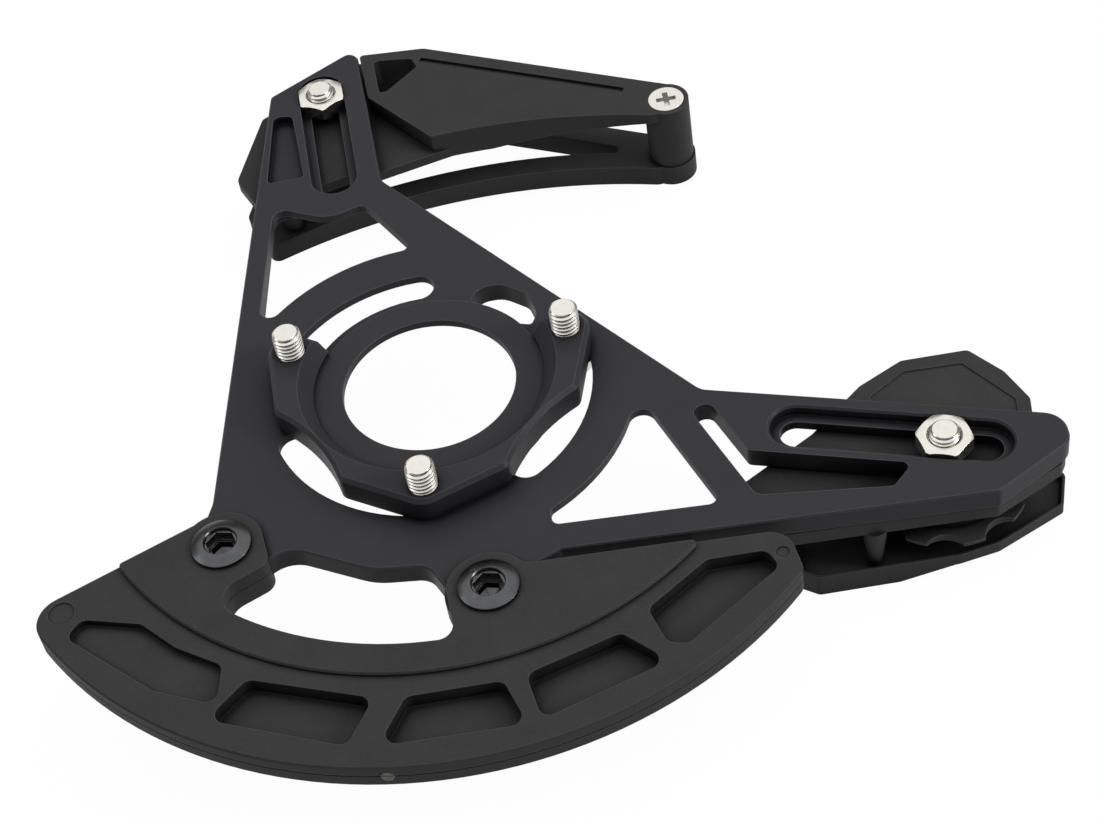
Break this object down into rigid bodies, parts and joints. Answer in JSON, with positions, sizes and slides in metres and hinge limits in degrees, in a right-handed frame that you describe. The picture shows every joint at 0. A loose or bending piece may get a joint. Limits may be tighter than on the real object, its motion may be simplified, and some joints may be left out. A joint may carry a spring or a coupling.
{
  "type": "bicycle chain guide",
  "caption": "Flat bicycle chain guide with a bottom bracket ring, a curved bash guard, a sliding upper guide and a sliding lower guide with a toothed pulley.",
  "frame": {"origin": "bottom bracket axis at the frame side of the backplate, where the adapter ring sits", "axes": "+Z along the bottom bracket axis towards the bicycle frame, +Y towards the upper guide, +X towards the lower guide"},
  "size_m": [0.2005, 0.2025, 0.0342],
  "materials": {
    "anodised": "black anodised, satin",
    "nylon": "moulded, fine grain",
    "zinc": "bright zinc plate",
    "black_steel": "black oxide, glossy",
    "bearing_steel": "ground"
  },
  "bodies": {
    "plate": {"backplate": "anodised", "bash_inner_half": "nylon", "bash_outer_half": "nylon", "bash_screw_1": "black_steel", "bash_screw_2": "black_steel", "bash_sleeve_nut_1": "black_steel", "bash_sleeve_nut_2": "black_steel"},
    "ring": {"adapter_ring": "anodised", "ring_bolt_1": "zinc", "ring_bolt_2": "zinc", "ring_bolt_3": "zinc"},
    "upper_guide": {"upper_inner_cheek": "nylon", "upper_outer_cheek": "nylon", "pillar_screw": "zinc", "pillar_nut": "zinc", "upper_clamp_bolt": "zinc", "upper_clamp_nut": "zinc"},
    "lower_guide": {"lower_inner_cheek": "nylon", "lower_outer_cheek": "nylon", "axle_bolt": "zinc", "axle_nut": "zinc", "bearing_inner_race": "bearing_steel"},
    "pulley": {"pulley": "nylon", "bearing_outer_race": "bearing_steel"}
  },
  "joints": [
    {"name": "ring_clocking", "type": "hinge", "parent": "plate", "child": "ring", "pos_m": [0, 0, 0], "axis": [0, 0, 1], "range_deg": [-65.5, 4.5]},
    {"name": "upper_slide", "type": "slide", "parent": "plate", "child": "upper_guide", "axis": [0.0332, -0.9995, 0], "range_m": [0, 0.02696]},
    {"name": "lower_slide", "type": "slide", "parent": "plate", "child": "lower_guide", "axis": [0.9442, -0.3293, 0], "range_m": [-0.02685, 0.0064]},
    {"name": "pulley_spin", "type": "hinge", "parent": "lower_guide", "child": "pulley", "pos_m": [0.09631, -0.03632, -0.01315], "axis": [0, 0, 1], "continuous": true}
  ]
}
